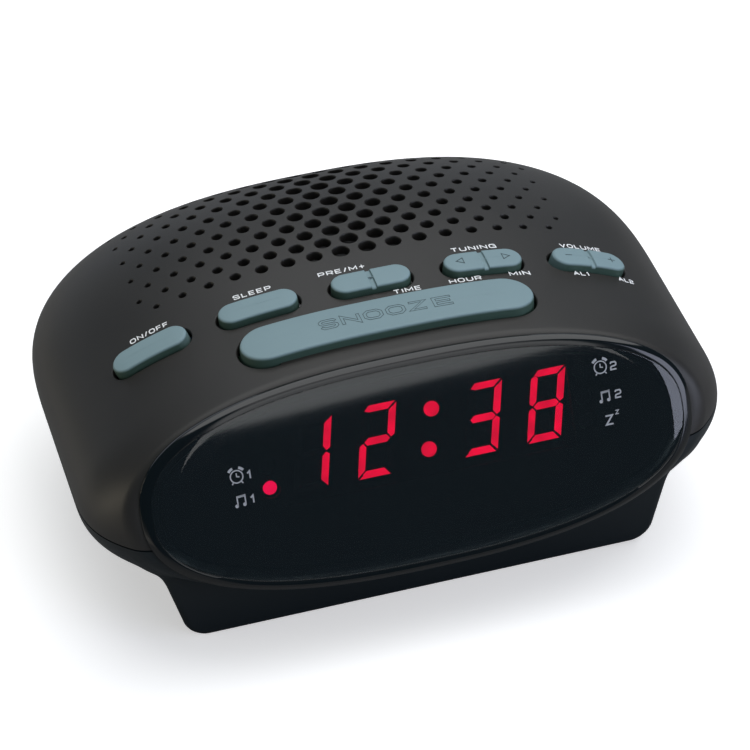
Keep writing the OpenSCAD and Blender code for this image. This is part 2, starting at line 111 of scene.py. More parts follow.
# plinth: a tapered rounded bar under the belly
P_FRONT, P_REAR, P_FOOT, P_TOP = -40.5, 30.0, 0.8, 24.0
P_A, P_B, P_R = 50.1, 54.8, 4.0                     # half width low and high, lower edge radius
P_SLOPE = (P_B - P_A) / (22.0 - P_R)
P_CORNER = 1.2                                      # upright edges of the plinth's solid
BLEND_PLINTH, BLEND_FACE = 4.2, 1.5                 # fillets to the belly and to the tilted face
BLEND_FRONT, BLEND_REAR = 1.6, 3.0                  # the plinth's own front and rear edges


def plinth_dist(p):
    x, y, z = np.abs(p[:, 0]), p[:, 1], p[:, 2]
    side = (x - (P_A - P_SLOPE * P_R + P_SLOPE * (z - P_FOOT))) / math.hypot(1, P_SLOPE)
    low = P_FOOT - z
    q = np.maximum(np.stack([side + P_R, low + P_R], 1), 0)
    in_corner = (side > -P_R) & (low > -P_R)
    d = np.where(in_corner, np.linalg.norm(q, axis=1) - P_R, np.maximum(side, low))
    d = smax(d, P_FRONT - y, BLEND_FRONT)
    d = smax(d, y - P_REAR, BLEND_REAR)
    return np.maximum(d, z - P_TOP)


def window_dist(p):
    return (p - WIN) @ WZ - LIP


def skin(p):
    """Signed distance, near enough, to the finished outer surface."""
    closed = smin(body_dist(p), plinth_dist(p), BLEND_PLINTH)
    return smax(closed, window_dist(p), BLEND_FACE)


def ring(y, g, n):
    """The housing's section at y, drawn in by g, as n points."""
    t = 2 * math.pi * np.arange(n) / n
    c, s = np.cos(t), np.sin(t)
    up = s >= -1e-12
    (du, dv), (bu, bv) = DOME_EXP, BELLY_EXP
    a = float(plan_half(np.array(y), g))
    x = a * np.sign(c) * np.abs(c) ** np.where(up, 2 / du, 2 / bu)
    hi, lo = float(rise(np.array(y), g, DOME)), float(rise(np.array(y), g, BELLY))
    z = SEAM + np.where(up, hi * np.abs(s) ** (2 / dv), -lo * np.abs(s) ** (2 / bv))
    return np.stack([x, np.full(n, y), z], 1)


# ------------------------------------------------------------------ mesh helpers
ON_SURFACE = 0.02       # mm: a point this close lies on the surface
SAME_SIDE = 0.75        # cosine: a face this close to the surface's normal is part of it


def new_object(name, points, faces):
    """A mesh object from points in mm."""
    mesh = bpy.data.meshes.new(name)
    mesh.from_pydata((np.asarray(points) * MM).tolist(), [], [list(f) for f in faces])
    mesh.validate()
    mesh.update()
    obj = bpy.data.objects.new(name, mesh)
    bpy.context.scene.collection.objects.link(obj)
    return obj


def loft(rows, close_ends=True, flip=False):
    """Points and faces of rows of closed loops, each with the same count."""
    n = len(rows[0])
    points = np.concatenate(rows)
    faces = []
    for k in range(len(rows) - 1):
        for i in range(n):
            j = (i + 1) % n
            f = (k * n + i, k * n + j, (k + 1) * n + j, (k + 1) * n + i)
            faces.append(f[::-1] if flip else f)
    if close_ends:
        first = tuple(range(n))[::-1]
        last = tuple((len(rows) - 1) * n + i for i in range(n))
        faces += [first[::-1], last[::-1]] if flip else [first, last]
    return points, faces


def body_mesh(name, g, n, ys):
    rows = [ring(y, g, n) for y in ys]
    points, faces = loft(rows, flip=True)
    return new_object(name, points, faces)


def stations(g, dense):
    """Places along y for the housing's sections, closer together towards the rear end."""
    front = np.arange(-53.6, PLAN_FRONT, 1.2 if dense else 3.0)
    mid = np.linspace(PLAN_FRONT, PLAN_MID, 14 if dense else 5)
    turn = np.sin(np.linspace(0, math.pi / 2, 36 if dense else 14))
    back = PLAN_MID + (REAR - g - 0.02 - PLAN_MID) * turn
    return np.concatenate([front, mid, back[1:]])


def box_object(name, lo, hi):
    lo, hi = np.array(lo, float), np.array(hi, float)
    pts = [[x, y, z] for x in (lo[0], hi[0]) for y in (lo[1], hi[1]) for z in (lo[2], hi[2])]
    faces = [(0, 1, 3, 2), (4, 6, 7, 5), (0, 4, 5, 1), (2, 3, 7, 6), (0, 2, 6, 4), (1, 5, 7, 3)]
    return new_object(name, pts, faces)


def outward(obj):
    bm = bmesh.new()
    bm.from_mesh(obj.data)
    bmesh.ops.recalc_face_normals(bm, faces=bm.faces)
    bm.to_mesh(obj.data)
    bm.free()
    return obj


def evaluate(obj):
    graph = bpy.context.evaluated_depsgraph_get()
    mesh = bpy.data.meshes.new_from_object(obj.evaluated_get(graph))
    old = obj.data
    obj.modifiers.clear()
    obj.data = mesh
    if old.users == 0:
        bpy.data.meshes.remove(old)
    return obj


def remove(obj):
    mesh = obj.data
    bpy.data.objects.remove(obj)
    if mesh.users == 0:
        bpy.data.meshes.remove(mesh)


def boolean(obj, cutter, operation="DIFFERENCE"):
    """Cut or add the cutter, which is used up."""
    m = obj.modifiers.new("cut", "BOOLEAN")
    m.object, m.operation, m.solver = cutter, operation, "MANIFOLD"
    bpy.context.view_layer.update()
    evaluate(obj)
    remove(cutter)
    return obj


def joined(name, parts):
    """One mesh object of several (points, faces) pairs."""
    points, faces, base = [], [], 0
    for p, f in parts:
        points.append(p)
        faces += [tuple(i + base for i in face) for face in f]
        base += len(p)
    return new_object(name, np.concatenate(points), faces)


def circle(r, n=32, x=0.0, y=0.0):
    t = 2 * np.pi * np.arange(n) / n
    return np.stack([x + r * np.cos(t), y + r * np.sin(t)], 1)


def verts(obj):
    co = np.empty(len(obj.data.vertices) * 3, np.float32)
    obj.data.vertices.foreach_get("co", co)
    return co.reshape(-1, 3).astype(float) / MM


def set_verts(obj, points):
    obj.data.vertices.foreach_set("co", (points * MM).astype(np.float32).ravel())
    obj.data.update()


def project(points, f, rounds=4, reach=2.5):
    """Points moved onto the surface f = 0; one that would go further than reach stays."""
    p = points.copy()
    for _ in range(rounds):
        d = f(p)
        g = gradient(f, p, 0.03)
        g /= np.maximum(np.linalg.norm(g, axis=1), 1e-6)[:, None]
        p -= g * np.clip(d, -0.8, 0.8)[:, None]
    far = np.linalg.norm(p - points, axis=1) > reach
    p[far] = points[far]
    return p


def smooth_normals(obj, f=None, angle=35):
    """Custom normals: from f where a corner lies on its surface, else smooth below an angle."""
    mesh = obj.data
    mesh.shade_smooth()
    mesh.set_sharp_from_angle(angle=math.radians(angle))
    if f is None:
        return obj
    nl = len(mesh.loops)
    corner = np.empty(nl * 3, np.float32)
    mesh.corner_normals.foreach_get("vector", corner)
    corner = corner.reshape(-1, 3).astype(float)
    vi = np.empty(nl, np.int32)
    mesh.loops.foreach_get("vertex_index", vi)
    p = verts(obj)
    on = np.abs(f(p)) < ON_SURFACE
    g = np.zeros_like(p)
    g[on] = gradient(f, p[on], 0.03)
    g /= np.maximum(np.linalg.norm(g, axis=1), 1e-6)[:, None]
    fn = np.empty(len(mesh.polygons) * 3, np.float32)
    mesh.polygons.foreach_get("normal", fn)
    fn = fn.reshape(-1, 3).astype(float)
    total = np.empty(len(mesh.polygons), np.int32)
    mesh.polygons.foreach_get("loop_total", total)
    loop_face = np.repeat(np.arange(len(total)), total)
    agree = (g[vi] * fn[loop_face]).sum(1) > SAME_SIDE
    face_on = np.ones(len(total), bool)
    np.logical_and.at(face_on, loop_face, on[vi])
    use = on[vi] & agree & face_on[loop_face]
    corner[use] = g[vi][use]
    mesh.normals_split_custom_set(corner.tolist())
    return obj


# ------------------------------------------------------------------ materials
def material(name):
    m = bpy.data.materials.new(name)
    m.use_nodes = True
    t = m.node_tree
    t.nodes.clear()
    out = t.nodes.new("ShaderNodeOutputMaterial")
    s = t.nodes.new("ShaderNodeBsdfPrincipled")
    t.links.new(s.outputs[0], out.inputs[0])
    return m, t, s


def noise(t, coords, scale, detail=3.0, rough=0.55):
    n = t.nodes.new("ShaderNodeTexNoise")
    n.inputs["Scale"].default_value = scale
    n.inputs["Detail"].default_value = detail
    n.inputs["Roughness"].default_value = rough
    t.links.new(coords, n.inputs["Vector"])
    return n.outputs[0]


def ramp(t, value, stops):
    r = t.nodes.new("ShaderNodeValToRGB")
    while len(r.color_ramp.elements) < len(stops):
        r.color_ramp.elements.new(0.5)
    for e, (pos, col) in zip(r.color_ramp.elements, stops):
        e.position = pos
        e.color = (*col, 1) if len(col) == 3 else col
    t.links.new(value, r.inputs[0])
    return r.outputs[0]


def spread(t, value, lo, hi):
    m = t.nodes.new("ShaderNodeMapRange")
    m.inputs["To Min"].default_value = lo
    m.inputs["To Max"].default_value = hi
    t.links.new(value, m.inputs["Value"])
    return m.outputs[0]


def plastic(name, base, other, rough, grain, grain_depth, spot, spec=0.5):
    """Moulded plastic: two close colours, a fine grain in the bump and a varying roughness."""
    m, t, s = material(name)
    coords = t.nodes.new("ShaderNodeTexCoord").outputs["Object"]
    big = noise(t, coords, spot, 4)
    fine = noise(t, coords, grain, 2, 0.6)
    t.links.new(ramp(t, big, [(0.3, base), (0.7, other)]), s.inputs["Base Color"])
    t.links.new(spread(t, big, rough[0], rough[1]), s.inputs["Roughness"])
    s.inputs["Specular IOR Level"].default_value = spec
    if grain_depth:
        b = t.nodes.new("ShaderNodeBump")
        b.inputs["Strength"].default_value = 0.6
        b.inputs["Distance"].default_value = grain_depth
        t.links.new(fine, b.inputs["Height"])
        t.links.new(b.outputs[0], s.inputs["Normal"])
    return m


def paint_side_shade(mat, tint):
    """Multiply the colour by a tint where the surface faces sideways: painted shade that darkens
    the flanks.
    """
    t = mat.node_tree
    s = next(n for n in t.nodes if n.type == "BSDF_PRINCIPLED")
    colour = s.inputs["Base Color"].links[0].from_socket
    split = t.nodes.new("ShaderNodeSeparateXYZ")
    t.links.new(t.nodes.new("ShaderNodeNewGeometry").outputs["Normal"], split.inputs[0])
    mix = t.nodes.new("ShaderNodeMix")
    mix.data_type, mix.blend_type = "RGBA", "MULTIPLY"
    mix.inputs[0].default_value = 1.0
    t.links.new(colour, mix.inputs[6])
    # painted shade: the colour ramps down to the tint as the normal turns from up to sideways
    t.links.new(ramp(t, split.outputs[2], [(0.10, tint), (0.78, (1, 1, 1))]), mix.inputs[7])
    t.links.new(mix.outputs[2], s.inputs["Base Color"])


def metal(name, base, other, rough, stretch=(1, 1, 1), scale=400):
    m, t, s = material(name)
    coords = t.nodes.new("ShaderNodeTexCoord").outputs["Object"]
    mp = t.nodes.new("ShaderNodeMapping")
    mp.inputs["Scale"].default_value = stretch
    t.links.new(coords, mp.inputs["Vector"])
    n = noise(t, mp.outputs[0], scale, 4)
    t.links.new(ramp(t, n, [(0.35, base), (0.65, other)]), s.inputs["Base Color"])
    t.links.new(spread(t, n, rough[0], rough[1]), s.inputs["Roughness"])
    s.inputs["Metallic"].default_value = 1.0
    b = t.nodes.new("ShaderNodeBump")
    b.inputs["Strength"].default_value = 0.4
    b.inputs["Distance"].default_value = 0.00003
    t.links.new(n, b.inputs["Height"])
    t.links.new(b.outputs[0], s.inputs["Normal"])
    return m


def emissive(name, color, dim, strength, base):
    m, t, s = material(name)
    coords = t.nodes.new("ShaderNodeTexCoord").outputs["Object"]
    n = noise(t, coords, 260, 2)
    s.inputs["Base Color"].default_value = (*base, 1)
    t.links.new(ramp(t, n, [(0.3, dim), (0.7, color)]), s.inputs["Emission Color"])
    s.inputs["Emission Strength"].default_value = strength
    s.inputs["Roughness"].default_value = 0.4
    return m


def glassy(name, tint, rough=0.02):
    m, t, s = material(name)
    coords = t.nodes.new("ShaderNodeTexCoord").outputs["Object"]
    n = noise(t, coords, 25, 2)
    stops = [(0.3, tint), (0.7, tuple(c * 1.04 for c in tint))]
    t.links.new(ramp(t, n, stops), s.inputs["Base Color"])
    t.links.new(spread(t, n, rough, rough + 0.015), s.inputs["Roughness"])
    s.inputs["Transmission Weight"].default_value = 0.95
    s.inputs["IOR"].default_value = 1.49
    return m


HOUSING = plastic("housing_plastic", (0.0190, 0.0174, 0.0158), (0.0224, 0.0204, 0.0182),
                  (0.40, 0.47), 5200, 0.00003, 40, spec=0.42)
BASE = plastic("base_plastic", (0.0055, 0.0100, 0.0128), (0.0065, 0.0115, 0.0142),
               (0.42, 0.5), 5200, 0.00002, 40, spec=0.36)
CAP = plastic("cap_plastic", (0.205, 0.298, 0.325), (0.218, 0.314, 0.342),
              (0.5, 0.6), 6500, 0.00002, 90, spec=0.30)
# painted shade: the caps' flanks are darkened towards an olive tint where they face sideways
paint_side_shade(CAP, (0.26, 0.33, 0.24))
# painted shade: the dark colour of the engraved marks stands in for the shade inside their grooves
GROOVE_SHADE = plastic("engraving_painted_shade", (0.060, 0.090, 0.098), (0.070, 0.102, 0.110),
               (0.55, 0.65), 6500, 0.0, 90, spec=0.2)
BEZEL = plastic("bezel_gloss", (0.0030, 0.0045, 0.0050), (0.0042, 0.0056, 0.0062),
                (0.08, 0.13), 3000, 0.0, 30)
LENS = glassy("lens_smoked", (0.135, 0.165, 0.175))
MASK = plastic("mask_matt", (0.0035, 0.005, 0.0055), (0.0045, 0.006, 0.0065),
               (0.7, 0.8), 4000, 0.00002, 60, spec=0.2)
INK = plastic("ink_white", (0.88, 0.89, 0.90), (0.92, 0.93, 0.94), (0.6, 0.7), 4000, 0.0, 300)
ICON = plastic("ink_grey", (0.40, 0.41, 0.44), (0.45, 0.46, 0.49), (0.6, 0.7), 4000, 0.0, 300)
LED = emissive("led_red_lit", (1.0, 0.0, 0.036), (0.66, 0.0, 0.024), 7.4, (0.3, 0.01, 0.02))
LAMP = emissive("lamp_red_lit", (1.0, 0.0, 0.06), (0.9, 0.0, 0.05), 7.0, (0.3, 0.01, 0.02))
LED_OFF = plastic("led_unlit", (0.006, 0.003, 0.0035), (0.008, 0.004, 0.0045),
                  (0.4, 0.5), 3000, 0.0, 80)
BOARD = plastic("board_mask", (0.008, 0.10, 0.035), (0.012, 0.14, 0.05),
                (0.3, 0.45), 1500, 0.00004, 200)
SWITCH = metal("switch_steel", (0.52, 0.52, 0.53), (0.62, 0.62, 0.63), (0.25, 0.4))
BLACK = plastic("part_black", (0.012, 0.012, 0.012), (0.018, 0.018, 0.018),
                (0.5, 0.65), 3000, 0.00002, 120)
SLEEVE = plastic("capacitor_sleeve", (0.012, 0.02, 0.09), (0.018, 0.03, 0.12),
                 (0.25, 0.35), 1500, 0.0, 90)
STEEL = metal("zinc_steel", (0.42, 0.42, 0.44), (0.56, 0.56, 0.57), (0.3, 0.45))
LAMINATION = metal("laminations", (0.10, 0.10, 0.11), (0.16, 0.16, 0.17),
                   (0.45, 0.6), (1, 1, 14), 300)
COPPER = metal("copper_wire", (0.55, 0.22, 0.09), (0.72, 0.33, 0.15), (0.3, 0.42), (1, 1, 10), 500)
FERRITE = plastic("ferrite", (0.028, 0.028, 0.032), (0.04, 0.04, 0.044),
                  (0.65, 0.8), 1800, 0.00005, 150)
PULP = plastic("cone_pulp", (0.028, 0.028, 0.03), (0.05, 0.05, 0.052),
               (0.8, 0.95), 2600, 0.00012, 500)
RUBBER = plastic("rubber_black", (0.010, 0.010, 0.010), (0.016, 0.016, 0.016),
                 (0.75, 0.9), 2600, 0.00004, 120, spec=0.3)

NODE_MATERIAL = {
    "bezel_ring": BEZEL, "display_lens": LENS, "light_mask": MASK, "display_body": MASK,
    "lit_segments": LED, "dark_segments": LED_OFF, "display_board": BOARD, "alarm_led": LED_OFF,
    "indicator_leds": LED_OFF, "key_board": BOARD, "tact_switches": SWITCH,
    "switch_plungers": BLACK,
    "main_board": BOARD, "capacitors": SLEEVE, "radio_chips": BLACK, "tuner_can": STEEL,
    "speaker_basket": STEEL, "speaker_magnet": FERRITE, "speaker_surround": RUBBER,
    "speaker_cone": PULP, "speaker_dust_cap": PULP, "voice_coil": COPPER, "speaker_clamps": STEEL,
    "speaker_screws": STEEL, "transformer_core": LAMINATION, "transformer_winding": COPPER,
    "battery_cover": BASE, "battery_contacts": STEEL, "contact_springs": STEEL,
    "rubber_feet": RUBBER, "housing_screws": STEEL, "mains_grommet": RUBBER,
    "antenna_grommet": RUBBER, "upper_housing": HOUSING, "lower_housing": BASE,
    "on_off_button": CAP, "sleep_button": CAP, "preset_rocker": CAP, "tuning_rocker": CAP,
    "volume_rocker": CAP, "snooze_bar": CAP,
}
for name, obj in NODES.items():
    if not obj.material_slots:
        obj.data.materials.append(NODE_MATERIAL[name])
    for entry in obj.material_slots:
        entry.material = NODE_MATERIAL[name]


def finish_piece(obj, mat, body, slot, replaces=()):
    obj.data.materials.clear()
    obj.data.materials.append(mat)
    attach(obj, body)
    if replaces:
        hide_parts(*replaces)
    return obj


# ------------------------------------------------------------------ camera
# The photograph's viewing angle: turn, height and roll, then the focal length and the place of
# AIM in pixels of a picture IMAGE wide, and the distance in mm.
IMAGE, SENSOR = 750, 36.0
TURN, HEIGHT, ROLL = math.radians(14.403), math.radians(38.753), math.radians(-2.602)
FOCAL, AIM_X, AIM_Y, DIST = 3491.723, 364.163, 459.038, 751.384
AIM = np.array([0, 4.0, 0])
fwd = np.array([math.sin(TURN) * math.cos(HEIGHT), math.cos(TURN) * math.cos(HEIGHT),
                -math.sin(HEIGHT)])
right = np.array([math.cos(TURN), -math.sin(TURN), 0.0])
upv = np.cross(right, fwd)
r2 = math.cos(ROLL) * right + math.sin(ROLL) * upv
u2 = -math.sin(ROLL) * right + math.cos(ROLL) * upv
eye = (-(AIM_X - IMAGE / 2) * DIST / FOCAL * r2 + (AIM_Y - IMAGE / 2) * DIST / FOCAL * u2
       - DIST * fwd + AIM)
cam_data = bpy.data.cameras.new("camera")
cam_data.sensor_width = SENSOR
cam_data.lens = FOCAL / IMAGE * SENSOR
cam_data.clip_start, cam_data.clip_end = 0.01, 20
cam = bpy.data.objects.new("camera", cam_data)
bpy.context.scene.collection.objects.link(cam)
cam.matrix_world = Matrix((
    (r2[0], u2[0], -fwd[0], eye[0] * MM), (r2[1], u2[1], -fwd[1], eye[1] * MM),
    (r2[2], u2[2], -fwd[2], eye[2] * MM), (0, 0, 0, 1)))
bpy.context.scene.camera = cam

# ------------------------------------------------------------------ housing
WALL, SEAM_GAP, VOXEL = 2.0, 0.17, 0.55
solid = outward(body_mesh("housing_solid", 0.0, 160, stations(0, True)))


def plinth_rows(g=0.0):
    """Level sections of the plinth, drawn in by g: rounded rectangles, narrower at the foot."""
    foot, r, cr = P_FOOT + g, P_R - g / 2, P_CORNER
    yf, yr = P_FRONT + g, P_REAR - g
    low = foot + r * (1 - np.cos(np.linspace(0, math.pi / 2, 7)))
    rows = []
    for z in np.concatenate([low, [8.0, 12.0, 16.0, 20.0, P_TOP - g * 0.6]]):
        dz = z - foot
        cut = 0.0 if dz >= r else r - math.sqrt(max(r * r - (r - dz) ** 2, 0))
        a = P_A + P_SLOPE * (z - P_FOOT - P_R) - g - cut
        pts = []
        for cx, cy, t0 in ((a - cr, yr - cr, 0), (-a + cr, yr - cr, 90),
                           (-a + cr, yf + cr, 180), (a - cr, yf + cr, 270)):
            for k in range(5):
                t = math.radians(t0 + 22.5 * k)
                pts.append([cx + cr * math.cos(t), cy + cr * math.sin(t), z])
            if t0 in (0, 180):
                x0, x1, ye = (a - cr, -a + cr, yr) if t0 == 0 else (-a + cr, a - cr, yf)
                for k in range(1, 24):
                    pts.append([x0 + (x1 - x0) * k / 24, ye, z])
        rows.append(np.array(pts))
    return rows


boolean(solid, outward(new_object("plinth_solid", *loft(plinth_rows()))), "UNION")
front_box = box_object("front_cut", (-100, -100, 0.0), (100, 100, 60))
tilt = Matrix.Translation(Vector(WIN * MM)) @ Matrix.Rotation(math.pi / 2 - TILT, 4, "X")
front_box.data.transform(tilt @ Matrix.Translation((0, 0, LIP * MM)))
boolean(solid, front_box)
rm = solid.modifiers.new("remesh", "REMESH")
rm.mode, rm.voxel_size, rm.adaptivity = "VOXEL", VOXEL * MM, 0.0
evaluate(solid)
set_verts(solid, project(verts(solid), skin))

inner = outward(body_mesh("inner_solid", WALL, 64, stations(WALL, False)))
boolean(inner, outward(new_object("plinth_inner", *loft(plinth_rows(WALL)))), "UNION")
boolean(solid, inner)

tt = np.radians(np.arange(0, 360, 2.5))
OVAL_EXP = 2.46
REBATE_A, REBATE_B = 56.0, 20.9             # the opening in the housing behind the bezel
BEZEL_A, BEZEL_B = 57, 22.2                 # the bezel's outer edge


def oval(a, b):
    c, s = np.cos(tt), np.sin(tt)
    return np.stack([a * np.sign(c) * np.abs(c) ** (2 / OVAL_EXP),
                     b * np.sign(s) * np.abs(s) ** (2 / OVAL_EXP)], 1)


def on_window(xy, depth):
    """Points of the window's own plane, depth in front of it, in the shared frame."""
    xy = np.asarray(xy, float)
    depth = np.broadcast_to(depth, len(xy))
    return WIN + xy[:, :1] * WX + xy[:, 1:2] * WY + depth[:, None] * WZ


rebate = [on_window(oval(REBATE_A, REBATE_B), depth) for depth in (-3.2, 3.0)]
boolean(solid, outward(new_object("rebate_cut", *loft(rebate))))

upper = solid
lower = solid.copy()
lower.data = solid.data.copy()
bpy.context.scene.collection.objects.link(lower)
boolean(upper, box_object("below", (-90, -90, -20), (90, 90, SEAM + SEAM_GAP)))
boolean(lower, box_object("above", (-90, -90, SEAM - SEAM_GAP), (90, 90, 90)))

# ---- grille: staggered rows of holes that get smaller towards the sides
GRILLE_ROWS, GRILLE_COLS, STEP_X, STEP_Y, FIRST_Y = 11, 16, 2.8, 3.9, 4
HOLE_MID, HOLE_FALL = 3.7, 0.165            # diameter at the middle, and its loss per column
parts = []
for j in range(GRILLE_ROWS):
    for k in range(-GRILLE_COLS, GRILLE_COLS + 1):
        if (k + j) % 2 == 0:
            continue
        x, y, r = STEP_X * k, FIRST_Y + STEP_Y * j, (HOLE_MID - HOLE_FALL * abs(k)) / 2
        n = 28 if r > 1.2 else 20
        loops = []
        for wider, down in ((0.40, -0.25), (0.15, 0.0), (0.04, 0.12), (0.0, 0.3), (0.0, 5.0)):
            px, py = circle(r + wider, n, x, y).T
            loops.append(np.stack([px, py, dome_z(px, py) - down], 1))
        parts.append(loft(loops, flip=True))
boolean(upper, outward(joined("grille_cut", parts)))

# ---- caps and their pockets
CAP_X = {"on_off": -46.2, "sleep": -23.6, "preset": 0.0, "tuning": 23.6, "volume": 46.2}
CAP_Y, BAR_Y = -8.6, -20.8
CAP_SIZE, BAR_SIZE = (16.6, 6.2), (60.8, 11.6)
CAP_PROUD, CAP_SKIRT, CAP_EDGE, CAP_CROWN = 1.6, 3.8, 0.6, 0.12
BAR_CROWN, BAR_LEAN = 0.15, 0.075
POCKET_END, POCKET_SIDE = 0.55, 0.3         # gaps around a cap
GROOVE_HALF, GROOVE_WALL, GROOVE_DEEP = 0.62, 0.24, 0.42


def cap_frame(x, y):
    """Origin on the dome and three axes of a cap, which leans sideways as the dome does there."""
    slope = float(dome_z(x + 0.5, CAP_Y) - dome_z(x - 0.5, CAP_Y))
    turn = 0.0 if y == BAR_Y else math.atan(slope)
    o = np.array([x, y, float(dome_z(x, y))])
    c, s = math.cos(turn), math.sin(turn)
    return o, np.array([c, 0, s]), np.array([0.0, 1, 0]), np.array([-s, 0, c])


def stadium(l, d, middle=False):
    """Outline of a round-ended slot, counter-clockwise; middle adds points for a groove there."""
    r = d / 2
    c = max(l / 2 - r, 0.0)
    a = np.linspace(-math.pi / 2, math.pi / 2, 28)
    m = max(int(c * 2 / 1.2), 2)
    xs = np.linspace(c, -c, m + 2)[1:-1]
    if middle:
        near = np.array([0.75, 0.62, 0.56, 0.50, 0.44, 0.38, 0.2])
        xs = np.concatenate([xs[xs > 0.95], near, [0.0], -near[::-1], xs[xs < -0.95]])
        m = len(xs)
    right_end = np.stack([c + r * np.cos(a), r * np.sin(a)], 1)
    left_end = -right_end
    top = np.stack([xs, np.full(m, r)], 1)
    return np.concatenate([right_end, top, left_end, -top])


def rest_height(frame_, st):
    """Height of the dome above the cap's own plane at local points."""
    o, ex, ey, ez = frame_
    base = o + st[:, :1] * ex + st[:, 1:2] * ey
    h = np.zeros(len(st))
    for _ in range(12):
        p = base + h[:, None] * ez
        h += (dome_z(p[:, 0], p[:, 1]) - p[:, 2]) / max(ez[2], 0.3) * 0.9
    return h


def cap_points(frame_, st, height):
    o, ex, ey, ez = frame_
    return o + st[:, :1] * ex + st[:, 1:2] * ey + np.asarray(height)[:, None] * ez


parts = []
for x, y, (l, d) in [(x, CAP_Y, CAP_SIZE) for x in CAP_X.values()] + [(0.0, BAR_Y, BAR_SIZE)]:
    fr = cap_frame(x, y)
    loops = []
    for grow, up in ((0.55, 0.25), (0.28, 0.0), (0.1, -0.12), (0.0, -0.32), (0.0, -5.0)):
        st = stadium(l + 2 * POCKET_END + 2 * grow, d + 2 * POCKET_SIDE + 2 * grow)
        loops.append(cap_points(fr, st, rest_height(fr, st) + up))
    parts.append(loft(loops, flip=True))
boolean(upper, outward(joined("pocket_cut", parts)))

smooth_normals(upper, skin)
finish_piece(upper, HOUSING, "radio", "housing", ["upper_housing"])
upper.name = "dome_shell"


def cap_piece(key, node, at, size, groove=False, crown=CAP_CROWN, lean=0.0):
    """A cap with a skirt, a rounded edge, a crowned top and, on a rocker, a groove across."""
    (x, y), (l, d), r, proud, skirt = at, size, CAP_EDGE, CAP_PROUD, CAP_SKIRT
    fr = cap_frame(x, y)
    loops = []
    prof = [(0.0, -skirt), (0.0, -1.2), (0.0, 0.0), (0.02, proud - r)]
    for k in range(1, 8):
        a = math.pi / 2 * k / 7
        prof.append((r * (1 - math.cos(a)) + 0.02, proud - r + r * math.sin(a) * 0.97))
    inset = r + 0.02
    top = proud - r * 0.03
    for k in range(1, 9):
        q = k / 8
        prof.append((inset + (d / 2 - inset - 0.02) * q, top + crown * (1 - (1 - q) ** 2)))
    for i, (ins, h) in enumerate(prof):
        st = stadium(l - 2 * ins, d - 2 * ins, middle=groove)
        base = rest_height(fr, st)
        hh = base + h - lean * st[:, 1] * min(max(h, 0) / proud, 1)
        if i == 0:
            hh = np.full(len(st), -skirt)
        if groove and h > 0.2:
            q = np.clip((GROOVE_HALF - np.abs(st[:, 0])) / GROOVE_WALL, 0, 1)
            hh = hh - GROOVE_DEEP * q * q * (3 - 2 * q) * min(1, (h - 0.2) / 0.6)
        loops.append(cap_points(fr, st, hh))
    obj = outward(new_object("cap_" + key, *loft(loops)))
    smooth_normals(obj, None, 50)
    finish_piece(obj, CAP, key + "_cap", "cap", [node])


for key, cap_x in CAP_X.items():
    rocks = key in ("preset", "tuning", "volume")
    cap_piece(key, key + ("_rocker" if rocks else "_button"), (cap_x, CAP_Y), CAP_SIZE, rocks)
cap_piece("snooze", "snooze_bar", (0.0, BAR_Y), BAR_SIZE, crown=BAR_CROWN, lean=BAR_LEAN)

# ------------------------------------------------------------------ lower housing details
SCREWS = [(-41, -27.5), (41, -27.5), (-41, 24), (41, 24)]
SCREW_BOSS, SCREW_BORE, SCREW_DEEP = 3.5, 2.8, 22.2
LEADS, LEAD_Z, LEAD_FACE = [(30, 3.4), (-30, 2)], 24.0, 51.0    # each lead's x and bore radius
LEAD_WALL, LEAD_STEP = 2.0, 0.9
BAY = [((-38, -18, -1), (12, 8, 14.6)), ((-39.4, -19.4, -1), (13.4, 9.4, 2.5))]


def tube(r, lo, hi, x, y, axis="z"):
    """A round bar along z, or along y at a height y, between lo and hi."""
    c = circle(r, 32, x, y)
    if axis == "z":
        rows = [np.column_stack([c, np.full(len(c), e)]) for e in (lo, hi)]
    else:
        rows = [np.column_stack([c[:, 0], np.full(len(c), e), c[:, 1]]) for e in (lo, hi)]
    return outward(new_object("tube", *loft(rows)))


for x, y in SCREWS:
    boolean(lower, tube(SCREW_BOSS, 1.6, SEAM - 0.3, x, y), "UNION")
for x, r in LEADS:
    boolean(lower, tube(r + LEAD_WALL, LEAD_FACE - 6, LEAD_FACE, x, LEAD_Z, "y"), "UNION")
    boolean(lower, tube(r, LEAD_FACE - 12, 60, x, LEAD_Z, "y"))
    boolean(lower, tube(r + LEAD_STEP, LEAD_FACE, 60, x, LEAD_Z, "y"))
for x, y in SCREWS:
    boolean(lower, tube(SCREW_BORE, -2, SCREW_DEEP, x, y))
for lo, hi in BAY:
    boolean(lower, box_object("bay", lo, hi))
smooth_normals(lower, skin)
finish_piece(lower, BASE, "radio", "base", ["lower_housing"])
lower.name = "base_shell"

# ------------------------------------------------------------------ window
def sag(inset, t):
    """Depth of the glossy front below its flat middle: it rounds back towards the two ends."""
    end = np.abs(np.cos(t)) ** 5
    wide, deep = 1.6 + 6.6 * end, 0.05 + 1.0 * end
    return -deep * (1 - np.minimum(inset / wide, 1)) ** 2.2


def front_loop(inset, below, follow=True):
    """A loop of the front, inset from the outer edge of the bezel."""
    depth = below * (1 - 0.7 * np.abs(np.cos(tt)) ** 4) + sag(inset, tt) if follow else below
    return on_window(oval(BEZEL_A - inset, BEZEL_B - inset), depth)


